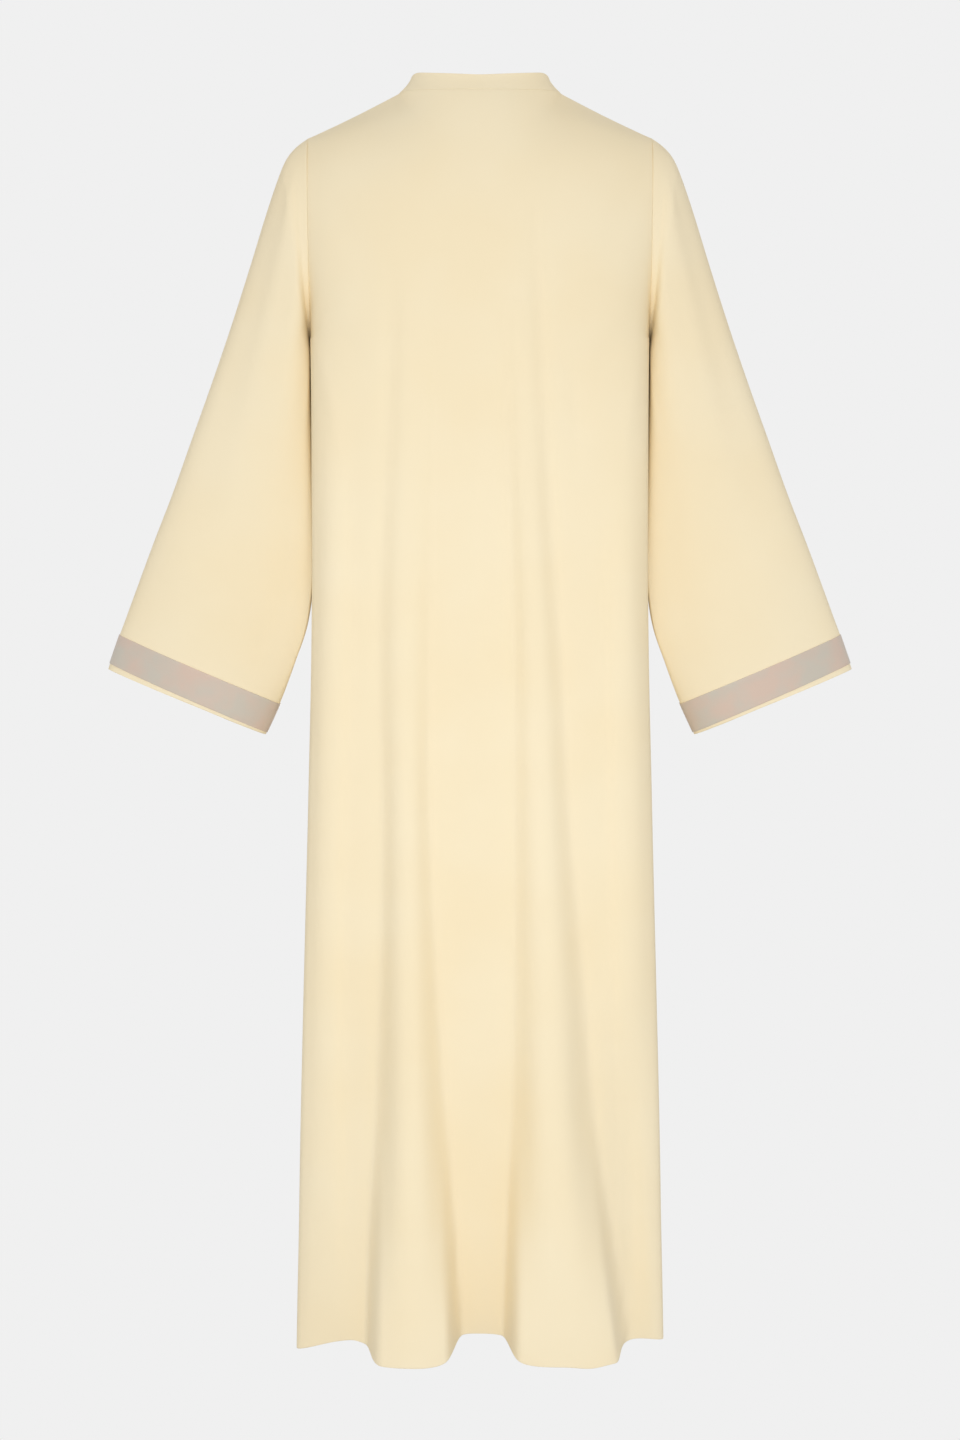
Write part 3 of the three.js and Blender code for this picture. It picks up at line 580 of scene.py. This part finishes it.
def taupeSatin():
    material, nodes, links = newMaterial("taupeSatin")
    shader = nodes["Principled BSDF"]
    weave = nodes.new("ShaderNodeGroup")
    weave.node_tree = weaveGroup
    weave.inputs["Thread Pitch"].default_value = satinValues["pitch"]
    weave.inputs["Slub"].default_value = satinValues["slub"]
    coords = nodes.new("ShaderNodeTexCoord")
    patches = nodes.new("ShaderNodeTexNoise")
    patches.inputs["Scale"].default_value = satinValues["patchScale"]
    patches.inputs["Detail"].default_value = 3
    links.new(coords.outputs["Object"], patches.inputs["Vector"])
    spread = nodes.new("ShaderNodeMapRange")
    spread.inputs["From Min"].default_value = satinValues["patchLow"]
    spread.inputs["From Max"].default_value = satinValues["patchHigh"]
    links.new(patches.outputs["Fac"], spread.inputs["Value"])
    colour = nodes.new("ShaderNodeMix")
    colour.data_type = "RGBA"
    colour.inputs["A"].default_value = (*satinValues["light"], 1)
    colour.inputs["B"].default_value = (*satinValues["warm"], 1)
    links.new(spread.outputs["Result"], colour.inputs["Factor"])
    links.new(colour.outputs["Result"], shader.inputs["Base Color"])
    relief = nodes.new("ShaderNodeBump")
    relief.inputs["Strength"].default_value = satinValues["bumpStrength"]
    relief.inputs["Distance"].default_value = satinValues["bumpDistance"]
    links.new(weave.outputs["Height"], relief.inputs["Height"])
    links.new(relief.outputs["Normal"], shader.inputs["Normal"])
    shader.inputs["Roughness"].default_value = satinValues["roughness"]
    return material


creamCloth = creamCrepe()
satinCloth = taupeSatin()
print("materials made")


# Panels of the body
panelValues = dict(
    columnStep=0.65, yokeStep=0.25, bodyStep=0.2, edgeColumn=0.03, edgeRow=0.03, lastStep=0.018,
    uneven=0.9,
)


def spacedRows():
    rows = [0, panelValues["edgeRow"]]
    count = round(yokeRows / panelValues["yokeStep"])
    rows += [yokeRows * n / count for n in range(1, count + 1)]
    span = lastRow - yokeRows
    count = round(span / panelValues["bodyStep"])
    rows += [yokeRows + span * n / count for n in range(1, count)]
    return rows + [lastRow - panelValues["lastStep"], lastRow]


panelRows = spacedRows()


def backColumnsAt(row):
    count = round(2 * halfColumns / panelValues["columnStep"])
    inner = [halfColumns * (2 * n / count - 1) for n in range(1, count)]
    edge = panelValues["edgeColumn"]
    return [-halfColumns, -halfColumns + edge, *inner, halfColumns - edge, halfColumns]


frontValues = dict(lapHalfWidth=14, lapLift=3.2, lapEase=22, firstColumn=2)


def frontColumnsAt(side, row):
    lapColumn = frontValues["lapHalfWidth"] / panelPoint(1, row, -1).x
    columns = [side * share * lapColumn for share in (-1, -0.93, -0.5, 0, 0.5, 1)]
    count = round((halfColumns - frontValues["firstColumn"]) / panelValues["columnStep"])
    span = halfColumns - frontValues["firstColumn"]
    columns += [side * (frontValues["firstColumn"] + span * n / count) for n in range(count)]
    columns += [side * (halfColumns - panelValues["edgeColumn"]), side * halfColumns]
    return sorted(columns)


def lapOffset(x):
    past = (-x - frontValues["lapHalfWidth"] - 2) / frontValues["lapEase"]
    return frontValues["lapLift"] * (1 - smoothStep(past))


# Creases of each panel in millimetres across and up: from, to, bow, half width, rise
backCreases = [
    (-54, -120, -66, -350, 2, 8, -2.4),
    (-65, -300, -84, -660, -2, 9, -2.2),
    (-29, -300, -37, -660, 1, 8, -1.8),
    (-96, -290, -104, -410, 0, 8, -1.5),
    (91, -190, 97, -420, 1, 9, -2.2),
    (99, -380, 106, -660, 1, 9, -1.8),
    (155, -380, 160, -660, 2, 11, 1.6),
    (-155, -400, -160, -680, -2, 11, 1.6),
    (166, -252, 116, -330, 6, 14, -1.2),
    (-166, -252, -118, -336, -6, 14, -1.1),
    (172, -280, 150, -400, 4, 8, 1.2),
    (-172, -284, -152, -420, -4, 8, 1.2),
    (166, -120, 128, -190, 5, 12, -0.9),
    (-166, -120, -130, -196, -5, 12, -0.9),
    (12, -300, 8, -760, 3, 14, 1.6),
    (30, -700, 34, -1100, 0, 9, -1.2),
    (140, -900, 150, -1340, 3, 12, -1.6),
    (-158, -980, -182, -1600, 0, 20, -9),
]
frontCreases = [
    (166, -262, 118, -340, 6, 9, -1.5),
    (-166, -262, -116, -344, -6, 9, -1.5),
    (170, -284, 146, -420, 4, 8, 1.2),
    (-170, -284, -148, -430, -4, 8, 1.2),
    (164, -124, 126, -196, 5, 12, -0.9),
    (-164, -124, -128, -200, -5, 12, -0.9),
    (60, -200, 66, -520, -3, 10, -1.2),
    (-64, -210, -70, -540, 3, 10, -1.2),
    (100, -620, 112, -1200, 3, 12, -1.6),
    (-104, -640, -116, -1220, -3, 12, -1.6),
]


def panelGrid(columnsAt, face, creases, lifted, seed):
    points, normals = [], []
    for row in panelRows:
        line, directions = [], []
        for column in columnsAt(row):
            at = panelPoint(column, row, face)
            normal = panelNormal(column, row, face)
            if lifted:
                at = at + normal * lapOffset(at.x)
            line.append(at)
            directions.append(normal)
        points.append(line)
        normals.append(directions)
    ends = columnsAt(0)
    edges = {"top"}
    if ends[0] == -halfColumns:
        edges.add("start")
    if ends[-1] == halfColumns:
        edges.add("end")
    across, down = arcLengths(points)
    shaped = openSeams(points, normals, edges)
    underarm = shaped[panelRows.index(yokeRows)]
    if "start" in edges:
        underarm[0].y += face * cut["seamGap"]
    if "end" in edges:
        underarm[-1].y += face * cut["seamGap"]
    for i, line in enumerate(shaped):
        for j, at in enumerate(line):
            toSeam = down[i][j]
            if "start" in edges:
                toSeam = min(toSeam, across[i][j])
            if "end" in edges:
                toSeam = min(toSeam, across[i][-1] - across[i][j])
            lift = -cut["grooveDepth"] * bump(toSeam, cut["grooveWidth"])
            free = smoothStep((toSeam - cut["seamClear"]) / cut["seamEase"])
            lift += creaseHeight(creases, at.x, at.z) * free
            lift += unevenness(at.x, at.z, seed, panelValues["uneven"]) * free
            shaped[i][j] = at + normals[i][j] * lift
    return shaped, normals


points, normals = panelGrid(backColumnsAt, 1, backCreases, False, 11)
backPanel = clothShell("backPanel", points, normals, creamCloth, "back")
points, normals = panelGrid(lambda row: frontColumnsAt(1, row), -1, frontCreases, False, 12)
leftFront = clothShell("leftFront", points, normals, creamCloth, "front_left")
points, normals = panelGrid(lambda row: frontColumnsAt(-1, row), -1, frontCreases, True, 12)
rightFront = clothShell("rightFront", points, normals, creamCloth, "front_right")
print("panels made")


# Sleeves and their bands
sleeveValues = dict(
    ringColumns=64, rowStep=0.25, lastRow=15, bandFirst=13, bandLast=14,
    cuffRow=12, cuffRise=2.6, seamRow=0.06, edgeStep=0.15, foldStart=0.25, foldFade=0.6,
    foldLeft=0.45, flatEnds=0.1, flatStart=1.5, flatPower=8, inset=2, uneven=0.8, seed=21,
)
sleeveFolds = [(62, 24, 4.5, 10), (112, 22, 3.5, -8), (236, 24, 3.5, 8), (296, 24, 4, -8)]

# Creases of a left sleeve: from and to as the angle round it and its row, then bow, width, rise
sleeveCreases = [
    (150, 0.6, 118, 5, 6, 9, -1.6),
    (165, 1.5, 142, 6.5, 5, 8, 1.3),
    (50, 2.5, 62, 10, -3, 20, -4.5),
    (30, 0.5, 50, 4, 3, 9, -0.9),
    (210, 0.6, 244, 5, -6, 9, -1.6),
    (196, 1.5, 220, 7, -5, 8, 1.3),
    (300, 2, 280, 7, 5, 11, -1.3),
    (120, 7, 132, 13, 3, 12, -1.4),
    (250, 7, 236, 13, -3, 12, -1.4),
]
# A row of the sleeve is about forty millimetres long and a degree round it about one
rowLength = 40
degreeLength = 1.1
laidCreases = [
    (fromAngle, fromRow * rowLength, toAngle, toRow * rowLength, bow, width, rise)
    for fromAngle, fromRow, toAngle, toRow, bow, width, rise in sleeveCreases
]


def sleevePoint(row, angle):
    if row <= 0:
        face = -1 if math.sin(angle) < 0 else 1
        return armholePoint(angle if face > 0 else 2 * halfTurn - angle, face)
    outer = Vector((sleeve["outerX"](row), sleeve["centreY"](row), sleeve["outerZ"](row)))
    inner = Vector((sleeve["innerX"](row), sleeve["innerY"](row), sleeve["innerZ"](row)))
    along = row / sleeveValues["lastRow"]
    waves = 0.0
    for place, spread, rise, twist in sleeveFolds:
        off = math.degrees(angle) - place - twist * along
        waves += rise * math.exp(-off * off / (spread * spread))
    fade = smoothStep((along - sleeveValues["foldFade"]) / (1 - sleeveValues["foldFade"]))
    waves *= smoothStep(along / sleeveValues["foldStart"]) * mix(1, sleeveValues["foldLeft"], fade)
    ends = math.cos(angle) ** sleeveValues["flatPower"]
    flat = 1 - sleeveValues["flatEnds"] * smoothStep(along * sleeveValues["flatStart"]) * ends
    bulge = abs(math.sin(angle)) ** sleeve["power"](row)
    depth = math.copysign(
        sleeve["halfDepth"](row) * flat + waves - sleeveValues["inset"] * smoothStep(row),
        math.sin(angle))
    at = (outer + inner) / 2 + (outer - inner) / 2 * math.cos(angle)
    at.y = mix(at.y, sleeve["centreY"](row) + depth, bulge)
    # The middle of each face is a little shorter than its edges at the cuff
    at.z += sleeveValues["cuffRise"] * bulge * smoothStep(row - sleeveValues["cuffRow"])
    if row < 1:
        start = sleevePoint(0, angle)
        straight = Vector((mix(cut["armholeX"], cut["shoulderX"], (1 + math.cos(angle)) / 2),
                           start.y, start.z))
        at += (start - straight) * (1 - row)
    return at


def sleeveGrid():
    ring = sleeveValues["ringColumns"]
    last = sleeveValues["lastRow"]
    count = round(last / sleeveValues["rowStep"])
    rowList = [0, sleeveValues["seamRow"]] + [last * n / count for n in range(1, count)]
    rowList += [last - sleeveValues["edgeStep"], last]
    angles = [2 * halfTurn * j / ring for j in range(ring)]
    points = [[sleevePoint(row, angle) for angle in angles] for row in rowList]
    normals = []
    for i, row in enumerate(rowList):
        directions = []
        for j, angle in enumerate(angles):
            if i == 0:
                face = -1 if math.sin(angle) < 0 else 1
                directions.append(armholeNormal(angle if face > 0 else 2 * halfTurn - angle, face))
                continue
            around = points[i][(j + 1) % ring] - points[i][j - 1]
            down = points[min(len(points) - 1, i + 1)][j] - points[i - 1][j]
            directions.append(down.cross(around).normalized())
        normals.append(directions)
    across, down = arcLengths(points)
    shaped = [[at.copy() for at in line] for line in points]
    for j in range(ring):
        along = points[0][(j + 1) % ring] - points[0][j - 1]
        away = along.cross(normals[0][j]).normalized()
        if away.dot(points[1][j] - points[0][j]) < 0:
            away = -away
        shaped[0][j] += away * (cut["seamGap"] * 0.55)
    for i, row in enumerate(rowList):
        for j, angle in enumerate(angles):
            lift = -cut["grooveDepth"] * bump(down[i][j], cut["grooveWidth"])
            free = smoothStep((down[i][j] - cut["seamClear"]) / cut["seamEase"])
            free *= smoothStep((sleeveValues["bandFirst"] - row) / 2)
            place, length = math.degrees(angle), row * rowLength
            lift += creaseHeight(laidCreases, place, length) * free
            uneven = unevenness(
                place * degreeLength, length, sleeveValues["seed"], sleeveValues["uneven"])
            lift += uneven * free * math.sin(angle) ** 2
            shaped[i][j] += normals[i][j] * lift
    return rowList, shaped, normals


def mirrored(grid):
    return [[Vector((-at.x, at.y, at.z)) for at in line] for line in grid]


def closedRing(grid):
    return [line + [line[0].copy()] for line in grid]


bandValues = dict(clearance=0.15, wall=0.8, edgeShare=0.12)


def bandGrid(rowList, points, normals):
    first, last = sleeveValues["bandFirst"], sleeveValues["bandLast"]
    chosen = [i for i, row in enumerate(rowList) if first - 1e-6 <= row <= last + 1e-6]
    bandPoints, bandNormals = [], []
    for n, i in enumerate(chosen):
        bandPoints.append(points[i])
        bandNormals.append(normals[i])
        if n in (0, len(chosen) - 2):
            share = bandValues["edgeShare"] if n == 0 else 1 - bandValues["edgeShare"]
            step = chosen[n + 1]
            bandPoints.append([p.lerp(q, share) for p, q in zip(points[i], points[step])])
            bandNormals.append(
                [p.lerp(q, share).normalized() for p, q in zip(normals[i], normals[step])])
    return bandPoints, bandNormals


sleeveRowList, sleevePoints, sleeveNormals = sleeveGrid()
bandPoints, bandNormals = bandGrid(sleeveRowList, sleevePoints, sleeveNormals)
bandIn = cut["wall"] / 2 + bandValues["clearance"]
sleevePieces, bandPieces = [], []
for sideName, turnOver in (("left", False), ("right", True)):
    grids = [closedRing(g) for g in (sleevePoints, sleeveNormals, bandPoints, bandNormals)]
    if turnOver:
        grids = [mirrored(g) for g in grids]
    sleevePieces.append(clothShell(
        sideName + "Sleeve", grids[0], grids[1], creamCloth,
        "sleeve_" + sideName, ring=True))
    bandPieces.append(clothShell(
        sideName + "CuffBand", grids[2], grids[3], satinCloth,
        "cuff_band_" + sideName, inside=-bandIn, outside=bandIn + bandValues["wall"], ring=True))
print("sleeves and bands made")


# The stand collar laps at the centre front with the panels
collarValues = dict(
    turnStep=0.6, rows=(0, 0.04, 0.2, 0.4, 0.6, 0.8, 0.95, 1), curve=1.5, lapStart=2.6,
    lapEase=0.3,
)
collarShape = tableCurves(("turn", "rise", "lean"), [
    (0, 16, 8), (40, 18.5, 9), (62, 19.5, 11.5), (90, 15.5, 12.5), (130, 18, 9), (180, 21, 7),
])


def collarGrid():
    lapTurn = math.asin(frontValues["lapHalfWidth"] / neckline["halfWidth"])
    turns = [-halfTurn - lapTurn * share for share in (1, 0.93, 0.5, 0, -0.5, -1)]
    step = 2 * neckColumns - 2
    count = round(2 * step / collarValues["turnStep"])
    turns += [quarterTurn * (-step + 2 * step * n / count) / neckColumns for n in range(count + 1)]
    turns += [halfTurn + lapTurn * share for share in (-1, -0.5, 0, 0.5, 0.93, 1)]
    points, normals = [], []
    for share in collarValues["rows"]:
        line, directions = [], []
        for turn in turns:
            normal = neckNormal(turn)
            flat = Vector((normal.x, normal.y, 0)).normalized()
            place = math.degrees(abs(turn))
            rise, lean = collarShape["rise"](place), collarShape["lean"](place)
            bend = 1 - (1 - share) ** collarValues["curve"]
            level = Vector((0, 0, rise * share)) - flat * lean * bend
            facing = (Vector((0, 0, lean)) + flat * rise).normalized()
            direction = normal.lerp(facing, smoothStep(share * 2)).normalized()
            past = (-turn - collarValues["lapStart"]) / collarValues["lapEase"]
            over = frontValues["lapLift"] * smoothStep(past) if turn < 0 else 0
            line.append(neckPoint(turn) + level + direction * over)
            directions.append(direction)
        points.append(line)
        normals.append(directions)
    across, down = arcLengths(points)
    shaped = openSeams(points, normals, {"top"})
    for i, line in enumerate(shaped):
        for j, at in enumerate(line):
            shaped[i][j] = at - normals[i][j] * cut["grooveDepth"] * bump(
                down[i][j], cut["grooveWidth"])
    return shaped, normals


points, normals = collarGrid()
standCollar = clothShell("standCollar", points, normals, creamCloth, "collar")
print("collar made")


# Studio: a very wide pale floor under a world of the same tone, and soft lights
studio = dict(
    floorHeight=-1.62, floorSize=120, tone=0.871, horizonLight=1.44, zenithLight=0.66,
    keyPlace=(0.0, 1.9, -0.68), keySize=1.0, keyPower=13,
    fillPlace=(-0.4, -2.4, -0.6), fillSize=1.4, fillPower=14,
)


floorValues = dict(grainScale=3, darkest=0.58, lightest=0.60, roughness=0.9)


def floorMaterial():
    material, nodes, links = newMaterial("paleFloor")
    shader = nodes["Principled BSDF"]
    grain = nodes.new("ShaderNodeTexNoise")
    grain.inputs["Scale"].default_value = floorValues["grainScale"]
    coords = nodes.new("ShaderNodeTexCoord")
    links.new(coords.outputs["Object"], grain.inputs["Vector"])
    shade = nodes.new("ShaderNodeMapRange")
    shade.inputs["To Min"].default_value = floorValues["darkest"]
    shade.inputs["To Max"].default_value = floorValues["lightest"]
    links.new(grain.outputs["Fac"], shade.inputs["Value"])
    links.new(shade.outputs["Result"], shader.inputs["Base Color"])
    shader.inputs["Roughness"].default_value = floorValues["roughness"]
    shader.inputs["Specular IOR Level"].default_value = 0.0
    # The camera sees the floor in the studio's own tone, so that no horizon shows
    seen = nodes.new("ShaderNodeEmission")
    seen.inputs["Color"].default_value = (studio["tone"],) * 3 + (1,)
    path = nodes.new("ShaderNodeLightPath")
    either = nodes.new("ShaderNodeMixShader")
    links.new(path.outputs["Is Camera Ray"], either.inputs["Fac"])
    links.new(shader.outputs[0], either.inputs[1])
    links.new(seen.outputs[0], either.inputs[2])
    links.new(either.outputs[0], nodes["Material Output"].inputs["Surface"])
    return material


def makeStudio():
    bm = bmesh.new()
    bmesh.ops.create_grid(bm, x_segments=1, y_segments=1, size=studio["floorSize"])
    for vert in bm.verts:
        vert.co.z = studio["floorHeight"]
    mesh = bpy.data.meshes.new("floor")
    bm.to_mesh(mesh)
    bm.free()
    floor = bpy.data.objects.new("floor", mesh)
    bpy.context.collection.objects.link(floor)
    mesh.materials.append(floorMaterial())

    world = bpy.data.worlds.new("studio")
    bpy.context.scene.world = world
    world.use_nodes = True
    nodes, links = world.node_tree.nodes, world.node_tree.links
    nodes.clear()
    seen = nodes.new("ShaderNodeBackground")
    seen.inputs["Color"].default_value = (studio["tone"],) * 3 + (1,)
    # The light comes mostly from all round and less from overhead
    glow = nodes.new("ShaderNodeBackground")
    coords = nodes.new("ShaderNodeTexCoord")
    split = nodes.new("ShaderNodeSeparateXYZ")
    strength = nodes.new("ShaderNodeMapRange")
    strength.inputs["To Min"].default_value = studio["horizonLight"]
    strength.inputs["To Max"].default_value = studio["zenithLight"]
    links.new(coords.outputs["Generated"], split.inputs["Vector"])
    links.new(split.outputs["Z"], strength.inputs["Value"])
    links.new(strength.outputs["Result"], glow.inputs["Strength"])
    path = nodes.new("ShaderNodeLightPath")
    either = nodes.new("ShaderNodeMixShader")
    out = nodes.new("ShaderNodeOutputWorld")
    links.new(path.outputs["Is Camera Ray"], either.inputs["Fac"])
    links.new(glow.outputs[0], either.inputs[1])
    links.new(seen.outputs[0], either.inputs[2])
    links.new(either.outputs[0], out.inputs["Surface"])

    for name in ("key", "fill"):
        lamp = bpy.data.lights.new(name, "AREA")
        lamp.shape = "DISK"
        lamp.size = studio[name + "Size"]
        lamp.energy = studio[name + "Power"]
        lampObject = bpy.data.objects.new(name, lamp)
        lampObject.location = studio[name + "Place"]
        toLight = Vector((studio[name + "Place"][0], studio[name + "Place"][1], 0))
        lampObject.rotation_euler = toLight.to_track_quat("Z", "Y").to_euler()
        lampObject.visible_camera = False
        bpy.context.collection.objects.link(lampObject)


makeStudio()
print("studio made")

# The camera stands behind the garment, at the middle of its height
cameraValues = dict(place=(0, 2.7847, -0.3943), downTilt=6, lens=63.636, sensor=36)
cameraData = bpy.data.cameras.new("camera")
cameraData.lens = cameraValues["lens"]
cameraData.sensor_width = cameraValues["sensor"]
camera = bpy.data.objects.new("camera", cameraData)
camera.location = cameraValues["place"]
tilt = math.radians(cameraValues["downTilt"])
backwards = Vector((0, math.cos(tilt), math.sin(tilt)))
camera.rotation_euler = backwards.to_track_quat("Z", "Y").to_euler()
bpy.context.collection.objects.link(camera)
bpy.context.scene.camera = camera
bpy.context.scene.view_settings.view_transform = "Standard"
